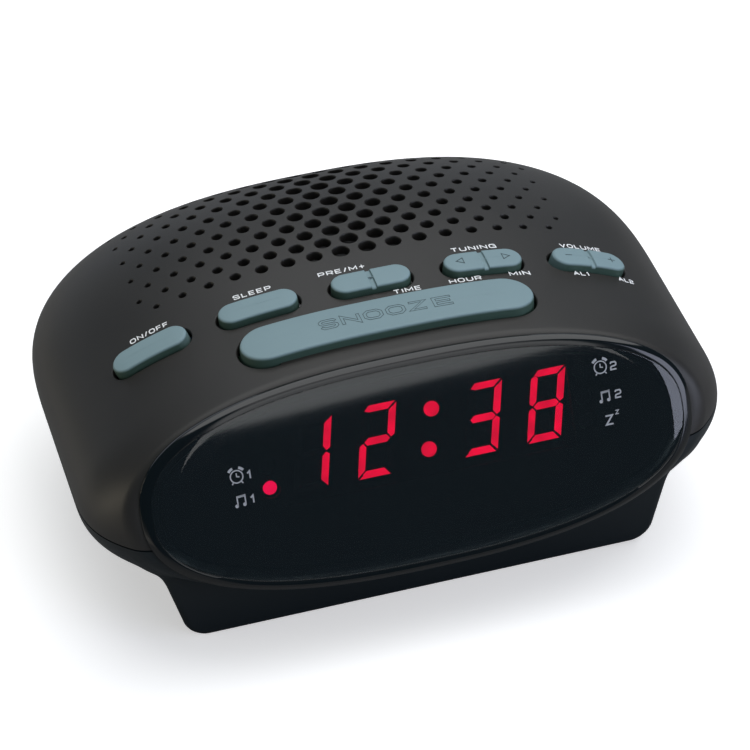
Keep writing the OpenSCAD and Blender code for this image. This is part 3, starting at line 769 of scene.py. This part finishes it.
# profiles: inset, depth, and whether the point follows the sagging front
prof = [(3.8, -3.05, 0), (1.35, -3.05, 0), (1.35, -2.2, 0), (0.0, -2.2, 0), (0.0, -0.95, 1),
        (0.04, -0.85, 1), (0.16, -0.7, 1), (0.5, -0.36, 1), (0.75, -0.13, 1), (0.88, -0.05, 1),
        (1.02, -0.01, 1), (1.2, 0.0, 1), (1.6, 0.0, 1), (2.05, 0.0, 1), (2.07, -0.02, 1),
        (2.07, -2.15, 0), (3.8, -2.2, 0)]
loops = [front_loop(i, b, f) for i, b, f in prof]
points, faces = loft(loops, close_ends=False)
n = len(tt)
last = (len(loops) - 1) * n
faces += [(last + i, last + (i + 1) % n, (i + 1) % n, i) for i in range(n)]
bez = outward(new_object("bezel", points, faces))
smooth_normals(bez, None, 40)
finish_piece(bez, BEZEL, "radio", "gloss_black", ["bezel_ring"])

prof = [(2.10, -2.15, 0), (2.10, -0.03, 1), (2.12, -0.01, 1), (2.15, 0.0, 1), (2.3, 0.0, 1)]
prof += [(2.3 + 6.2 * k / 16, 0.0, 1) for k in range(1, 17)]
prof += [(8.5 + q, 0.0, 1) for q in (1.2, 3, 5.5, 8.5, 11, 13.2)]
lens = outward(new_object("lens", *loft([front_loop(i, b, f) for i, b, f in prof])))
smooth_normals(lens, None, 60)
finish_piece(lens, LENS, "radio", "smoked_lens", ["display_lens"])

# ------------------------------------------------------------------ clock digits
LIT = [(1, 2), (0, 1, 6, 4, 3), (0, 1, 6, 2, 3), (0, 1, 2, 3, 4, 5, 6)]     # strokes of 12:38
DIGIT_X = [-24.3, -11.0, 11.0, 24.3]
DISP_X, DISP_Y, DISP_DEPTH, DISP_THICK, SLANT = 3.4, 5.5, -4.18, 0.5, 0.21
COLON_R, COLON_UP = 1.6, 4.05


def slanted(poly):
    poly = np.asarray(poly, float)
    return np.stack([poly[:, 0] + SLANT * poly[:, 1], poly[:, 1]], 1)


def digit_strokes():
    """The seven strokes of a digit, a to g, as outlines."""
    w, h, s, d = 3.55, 7.3, 1.36, 0.30
    a = [(-w + 0.55, h - 1.02), (-w + 1.3, h), (w - d, h), (w - s - d, h - s),
         (-w + 1.5, h - s)]
    b = [(w, h - d), (w, 0.62), (w - s / 2, 0.16), (w - s, 1.0), (w - s, h - s - d)]
    c = [(x, -y) for x, y in b][::-1]
    dd = [(-w + d, -h), (w - d, -h), (w - s - d, -h + s), (-w + s + d, -h + s)]
    e = [(-x, y) for x, y in c][::-1]
    f = [(-w, 0.62), (-w + s / 2, 0.16), (-w + s, 1.0), (-w + s, h - s - 0.12),
         (-w + 0.62, h - 1.12), (-w, h - 1.4)]
    g = [(-w + s / 2 + 0.22, 0), (-w + s + 0.12, s / 2), (w - s - 0.12, s / 2),
         (w - s / 2 - 0.22, 0), (w - s - 0.12, -s / 2), (-w + s + 0.12, -s / 2)]
    return [a, b, c, dd, e, f, g]


def slab(outline, at):
    """Points and faces of a flat plate with the given outline, at a place on the display."""
    o = np.asarray(outline, float) + at
    c = o.mean(0)
    return loft([on_window(o, DISP_DEPTH - DISP_THICK), on_window(o, DISP_DEPTH - 0.08),
                 on_window(c + (o - c) * 0.985, DISP_DEPTH)])


on, off = [], []
for lit, dx in zip(LIT, DIGIT_X):
    for k, poly in enumerate(digit_strokes()):
        (on if k in lit else off).append(slab(slanted(poly), (DISP_X + dx, DISP_Y)))
for up in (COLON_UP, -COLON_UP):
    on.append(slab(circle(COLON_R), (DISP_X + up * SLANT, DISP_Y + up)))
for name, strokes, mat, slot, node in (("digits_lit", on, LED, "led_red", "lit_segments"),
                                       ("digits_off", off, LED_OFF, "led_idle", "dark_segments")):
    digits = outward(joined(name, strokes))
    smooth_normals(digits, None, 30)
    finish_piece(digits, mat, "radio", slot, [node])

# ------------------------------------------------------------------ printed marks, and engraved marks drawn as raised dark lines of painted groove shade
INK_UP, INK_DOWN = 0.03, -0.05              # top and bottom of a printed line from its surface

# letters as lines on a unit square: (width, lines)
ROUND = [(0.22, 0), (0.78, 0), (1, 0.25), (1, 0.75), (0.78, 1), (0.22, 1), (0, 0.75), (0, 0.25),
         (0.22, 0)]
LETTERS = {
    "A": (1.05, [[(0, 0), (0.5, 1), (1, 0)], [(0.2, 0.33), (0.8, 0.33)]]),
    "E": (0.85, [[(1, 1), (0, 1), (0, 0), (1, 0)], [(0, 0.5), (0.92, 0.5)]]),
    "F": (0.85, [[(0, 0), (0, 1), (1, 1)], [(0, 0.48), (0.9, 0.48)]]),
    "G": (1.0, [[(1, 0.78), (0.82, 1), (0.2, 1), (0, 0.78), (0, 0.22), (0.2, 0), (1, 0),
                 (1, 0.5), (0.55, 0.5)]]),
    "H": (1.0, [[(0, 0), (0, 1)], [(1, 0), (1, 1)], [(0, 0.5), (1, 0.5)]]),
    "I": (0.0, [[(0.5, 0), (0.5, 1)]]),
    "L": (0.78, [[(0, 1), (0, 0), (1, 0)]]),
    "M": (1.15, [[(0, 0), (0, 1), (0.5, 0.25), (1, 1), (1, 0)]]),
    "N": (1.0, [[(0, 0), (0, 1), (1, 0), (1, 1)]]),
    "O": (1.0, [ROUND]),
    "P": (0.9, [[(0, 0), (0, 1), (0.82, 1), (1, 0.84), (1, 0.56), (0.82, 0.4), (0, 0.4)]]),
    "R": (0.92, [[(0, 0), (0, 1), (0.82, 1), (1, 0.84), (1, 0.58), (0.82, 0.42), (0, 0.42)],
                 [(0.6, 0.42), (1, 0)]]),
    "S": (0.95, [[(1, 0.8), (0.85, 1), (0.15, 1), (0, 0.85), (0, 0.65), (0.15, 0.52),
                  (0.85, 0.48), (1, 0.35), (1, 0.15), (0.85, 0), (0.15, 0), (0, 0.2)]]),
    "T": (0.95, [[(0, 1), (1, 1)], [(0.5, 1), (0.5, 0)]]),
    "U": (1.0, [[(0, 1), (0, 0.22), (0.2, 0), (0.8, 0), (1, 0.22), (1, 1)]]),
    "V": (1.05, [[(0, 1), (0.5, 0), (1, 1)]]),
    "Z": (0.95, [[(0, 1), (1, 1), (0, 0), (1, 0)]]),
    "1": (0.35, [[(0, 0.72), (0.8, 1), (0.8, 0)]]),
    "2": (0.9, [[(0, 0.8), (0.15, 1), (0.85, 1), (1, 0.84), (1, 0.62), (0.85, 0.5), (0.15, 0.42),
                 (0, 0.28), (0, 0), (1, 0)]]),
    "+": (0.8, [[(0, 0.5), (1, 0.5)], [(0.5, 0.02), (0.5, 0.98)]]),
    "/": (0.45, [[(0, -0.05), (1, 1.05)]]),
}


def lettering(text, height, width, x=0.0, y=0.0, space=0.5):
    """Lines of a word, centred on (x, y), stretched to the given width."""
    wide = [LETTERS[c][0] for c in text]
    total = sum(wide) + space * (len(text) - 1)
    lines, at = [], 0.0
    for c, w in zip(text, wide):
        for line in LETTERS[c][1]:
            q = np.array(line, float)
            lines.append(np.stack([x + ((at + q[:, 0] * w) / total - 0.5) * width,
                                   y + (q[:, 1] - 0.5) * height], 1))
        at += w + space
    return lines


def sides(line, width):
    """The two edges of a mitred line; a line whose ends meet is taken as closed."""
    p = np.asarray(line, float)
    loop = np.allclose(p[0], p[-1])
    p = p[:-1] if loop else p
    d = (np.roll(p, -1, 0) - p) if loop else np.diff(p, axis=0)
    d /= np.linalg.norm(d, axis=1)[:, None]
    nrm = np.stack([-d[:, 1], d[:, 0]], 1)
    if loop:
        before, after = np.roll(nrm, 1, 0), nrm
    else:
        before, after = np.concatenate([nrm[:1], nrm]), np.concatenate([nrm, nrm[-1:]])
    m = (before + after) / np.maximum(1 + (before * after).sum(1), 0.35)[:, None]
    return p + m * width / 2, p - m * width / 2, loop


def ribbon(line, width, place):
    """A closed solid along a line: place(points, lift) puts flat points on a surface."""
    a, b, loop = sides(line, width)
    n = len(a)
    points = np.concatenate([place(q, lift) for lift in (INK_UP, INK_DOWN) for q in (a, b)])
    faces = []
    for k in range(n if loop else n - 1):
        j = (k + 1) % n
        faces += [(k, n + k, n + j, j), (2 * n + k, 2 * n + j, 3 * n + j, 3 * n + k),
                  (k, j, 2 * n + j, 2 * n + k), (n + k, 3 * n + k, 3 * n + j, n + j)]
    if not loop:
        faces += [(0, 2 * n, 3 * n, n), (n - 1, 2 * n - 1, 4 * n - 1, 3 * n - 1)]
    return points, faces


def disc(r, x, y, place):
    c = circle(r, 16, x, y)
    return loft([place(c, INK_DOWN), place(c, INK_UP)])


def on_dome(x, y):
    """Places flat points on the dome around (x, y), x across and y towards the rear."""
    e = 0.5
    ex = np.array([2 * e, 0, float(dome_z(x + e, y) - dome_z(x - e, y))])
    ey = np.array([0, 2 * e, float(dome_z(x, y + e) - dome_z(x, y - e))])
    ex, ey = ex / np.linalg.norm(ex), ey / np.linalg.norm(ey)
    o = np.array([x, y, 0.0])

    def place(flat, lift):
        q = o + flat[:, :1] * ex + flat[:, 1:2] * ey
        return np.stack([q[:, 0], q[:, 1], dome_z(q[:, 0], q[:, 1]) + lift], 1)
    return place


WORD_LINE, WORD_HIGH = 0.26, 1.15
WORDS = [("ON/OFF", -45.2, -2.7, 8.6), ("SLEEP", -23.4, -2.6, 8.0), ("PRE/M+", -4.5, -2.5, 9.9),
         ("TUNING", 23.6, -2.5, 9.7), ("VOLUME", 46.6, -2.7, 9.6), ("TIME", 6.4, -12.95, 5.8),
         ("HOUR", 18.7, -12.8, 6.8), ("MIN", 30.3, -12.6, 4.5), ("AL1", 43.5, -12.7, 3.6),
         ("AL2", 53.2, -12.7, 3.8)]         # word, x, y, width
words = []
for text, x, y, width in WORDS:
    place = on_dome(x, y)
    words += [ribbon(line, WORD_LINE, place)
              for line in lettering(text, WORD_HIGH, width - WORD_LINE)]
marks = outward(joined("printed_words", words))
finish_piece(marks, INK, "radio", "print_white")


def arc(r, x, y, t0=0.0, t1=360.0, n=28):
    t = np.radians(np.linspace(t0, t1, n + 1))
    return np.stack([x + r * np.cos(t), y + r * np.sin(t)], 1)


def alarm_icon(x, y):
    """A small alarm clock: rim, hands, two bells and two feet."""
    lines = [(arc(1.26, x, y), 0.24), ([(x, y + 0.72), (x, y), (x + 0.55, y - 0.12)], 0.22)]
    for s in (-1, 1):
        a = 90 - s * 36
        lines.append((arc(1.86, x, y, a - 17, a + 17, 8), 0.52))
        lines.append(([(x + s * 0.82, y - 1.12), (x + s * 1.12, y - 1.48)], 0.24))
    return [ribbon(q, w, on_window) for q, w in lines]


def note_icon(x, y):
    """Two joined quavers."""
    stems = [(x - 0.62, y - 1.0), (x - 0.62, y + 0.86), (x + 0.98, y + 0.98), (x + 0.98, y - 0.9)]
    parts = [ribbon(stems, 0.26, on_window),
             ribbon([(x - 0.62, y + 0.76), (x + 0.98, y + 0.88)], 0.4, on_window)]
    for dx, dy in ((-0.86, -1.02), (0.74, -0.92)):
        parts.append(disc(0.36, x + dx, y + dy, on_window))
    return parts


SIGNS = [("1", -34.7, 5.0, 1.5, 0.62, 0.3), ("1", -34.8, 0.0, 1.5, 0.62, 0.3),
         ("2", 41.6, 11.5, 1.5, 1.15, 0.3), ("2", 41.8, 5.6, 1.5, 1.15, 0.3),
         ("Z", 39.3, 0.6, 1.8, 1.45, 0.32), ("Z", 41.1, 1.9, 0.75, 0.65, 0.17)]
shapes = alarm_icon(-37.2, 5.1) + note_icon(-37.2, 0.2)
shapes += alarm_icon(38.9, 11.7) + note_icon(39.0, 5.7)
for text, x, y, high, wide, bold in SIGNS:
    shapes += [ribbon(line, bold, on_window) for line in lettering(text, high, wide, x, y)]
icons = outward(joined("printed_icons", shapes))
finish_piece(icons, ICON, "radio", "print_grey")


def on_cap(x, y, d, crown=CAP_CROWN, lean=0.0):
    """Places flat points on the crowned top of a cap of depth d."""
    fr = cap_frame(x, y)

    def place(flat, lift):
        top = crown * (1 - np.minimum(np.abs(flat[:, 1]) / (d / 2 - CAP_EDGE), 1) ** 2)
        height = rest_height(fr, flat) + CAP_PROUD + top + lift - lean * flat[:, 1]
        return cap_points(fr, flat, height)
    return place


# ---- the word on the long bar, as the thin outline of each letter, in a dark colour that is painted groove shade
OUTLINE, LETTER_BOLD = 0.11, 0.62
place = on_cap(0.0, BAR_Y, BAR_SIZE[1], BAR_CROWN, BAR_LEAN)
parts = []
for line in lettering("SNOOZ", 2.7, 21.6, -2.9, 0.1, 0.42):
    a, b, loop = sides(line, LETTER_BOLD)
    if loop:
        parts += [ribbon(np.concatenate([q, q[:1]]), OUTLINE, place) for q in (a, b)]
    else:
        parts.append(ribbon(np.concatenate([a, b[::-1], a[:1]]), OUTLINE, place))
letter_e = [(0, 0), (1, 0), (1, 0.19), (0.18, 0.19), (0.18, 0.41), (0.92, 0.41), (0.92, 0.59),
            (0.18, 0.59), (0.18, 0.81), (1, 0.81), (1, 1), (0, 1), (0, 0)]
parts.append(ribbon([(9.5 + 3.9 * u, -1.56 + 3.32 * v) for u, v in letter_e], OUTLINE, place))
word = outward(joined("snooze_word", parts))
finish_piece(word, GROOVE_SHADE, "snooze_cap", "cap_engraving")


# the rocker marks are raised lines in the same dark colour, painted shade of engraved grooves
def cap_mark(key, lines):
    place = on_cap(CAP_X[key], CAP_Y, CAP_SIZE[1])
    parts = [ribbon(line, 0.17, place) for line in lines]
    finish_piece(outward(joined(key + "_marks", parts)), GROOVE_SHADE, key + "_cap", "cap_engraving")


tri = np.array([(-5.7, 0.0), (-4.2, 0.9), (-4.2, -0.9), (-5.7, 0.0)])
cap_mark("tuning", [tri, -tri])
cap_mark("volume", [[(-5.6, 0), (-4.2, 0)], [(4.2, 0), (5.8, 0)], [(5.0, -0.8), (5.0, 0.8)]])

# ---- the lit lamp beside the alarm icons: dark flanged body, glowing domed face
LAMP_XY, LAMP_R, LAMP_FACE = (-30.5, 0.6), 1.7, -3.7
LAMP_BODY = plastic("lamp_body", (0.006, 0.003, 0.0035), (0.008, 0.004, 0.0045),
                    (0.4, 0.5), 3000, 0.0, 80)


def turned(name, profile, angle):
    """A round piece on the lamp's axis, from pairs of radius and depth."""
    loops = [on_window(circle(r, 32, *LAMP_XY), depth) for r, depth in profile]
    return smooth_normals(outward(new_object(name, *loft(loops))), None, angle)


lamp = turned("lamp_body", [
    (LAMP_R, -9.9), (LAMP_R, -8.95), (LAMP_R - 0.2, -8.9), (LAMP_R - 0.2, LAMP_FACE - 0.25),
    (LAMP_R - 0.25, LAMP_FACE - 0.2)], 30)
finish_piece(lamp, LAMP_BODY, "radio", "led_idle", ["alarm_led"])
glow = turned("lamp_face", [
    (LAMP_R - 0.27, LAMP_FACE - 0.2), (LAMP_R - 0.3, LAMP_FACE - 0.1),
    (LAMP_R - 0.45, LAMP_FACE - 0.03), (LAMP_R - 0.8, LAMP_FACE), (0.3, LAMP_FACE)], 50)
finish_piece(glow, LAMP, "radio", "led_red")

# ------------------------------------------------------------------ stage and light
floor = box_object("floor", (-3000, -3000, -8), (3000, 3000, -0.02))
fm, ft, fs = material("paper_white")
fc = ft.nodes.new("ShaderNodeTexCoord").outputs["Object"]
paper = [(0.3, (0.86, 0.86, 0.86)), (0.7, (0.88, 0.88, 0.88))]
ft.links.new(ramp(ft, noise(ft, fc, 6, 2), paper), fs.inputs["Base Color"])
fs.inputs["Roughness"].default_value = 0.85
fs.inputs["Specular IOR Level"].default_value = 0.1
# the floor is bright in the picture, and dimmer in what it throws back at the object
seen = ft.nodes.new("ShaderNodeLightPath").outputs["Is Camera Ray"]
pale, dim = ft.nodes.new("ShaderNodeEmission"), ft.nodes.new("ShaderNodeBsdfDiffuse")
pale.inputs["Color"].default_value = (1.0, 0.985, 0.975, 1)
pale.inputs["Strength"].default_value = 0.50
dim.inputs["Color"].default_value = (0.36, 0.355, 0.35, 1)
both, pick = ft.nodes.new("ShaderNodeAddShader"), ft.nodes.new("ShaderNodeMixShader")
ft.links.new(fs.outputs[0], both.inputs[0])
ft.links.new(pale.outputs[0], both.inputs[1])
ft.links.new(seen, pick.inputs[0])
ft.links.new(dim.outputs[0], pick.inputs[1])
ft.links.new(both.outputs[0], pick.inputs[2])
ft.links.new(pick.outputs[0], ft.nodes["Material Output"].inputs[0])
floor.data.materials.append(fm)


def area(name, at, size, power, target=(0, 0, 30), color=(1, 1, 1)):
    """A soft box: place, size and target in mm, power in W."""
    d = bpy.data.lights.new(name, "AREA")
    d.shape = "RECTANGLE"
    d.size, d.size_y = size[0] * MM, size[1] * MM
    d.energy = power
    d.color = color
    o = bpy.data.objects.new(name, d)
    bpy.context.scene.collection.objects.link(o)
    o.location = Vector(at) * MM
    o.rotation_euler = (Vector(target) - Vector(at)).to_track_quat("-Z", "Y").to_euler()
    return o


area("key_top", (240, 260, 1150), (1500, 1500), 15.0, (0, 0, 0))
front = area("front_band", (305, -1543, 494), (370, 350), 0.66, (305, 0, 494))
front.rotation_euler.rotate_axis("Z", math.radians(2.2))
area("front_high", (240, -1150, 1250), (500, 1200), 2.2, (0, -40, 40), (1.0, 0.96, 0.95))
area("right_panel", (675, -640, 270), (580, 430), 3.2, (50, -43, 37), (0.76, 0.81, 1.0))
area("left_warm", (-900, 60, 200), (300, 420), 1.15, (0, 0, 30), (1.0, 0.90, 0.70))
area("rear_wall", (0, 1800, 320), (3000, 600), 3.2, (0, 0, 100), (0.9, 0.92, 1.0))
area("floor_right", (620, 250, 3), (560, 900), 1.7, (520, 250, 1000), (0.90, 0.92, 1.0))
area("floor_left", (-520, 250, 3), (760, 900), 0.8, (-520, 250, 1000), (1.0, 0.92, 0.76))
# the world is pale behind the object, and a dim blue for its light
world = bpy.data.worlds.new("studio")
bpy.context.scene.world = world
world.use_nodes = True
wt = world.node_tree
bg = wt.nodes["Background"]
path = wt.nodes.new("ShaderNodeLightPath")
mix = wt.nodes.new("ShaderNodeMix")
mix.data_type = "RGBA"
mix.inputs[6].default_value = (0.040, 0.075, 0.105, 1)
mix.inputs[7].default_value = (0.96, 0.96, 0.96, 1)
wt.links.new(path.outputs["Is Camera Ray"], mix.inputs[0])
wt.links.new(mix.outputs[2], bg.inputs[0])
bg.inputs[1].default_value = 1.0
bpy.context.scene.view_settings.view_transform = "Standard"
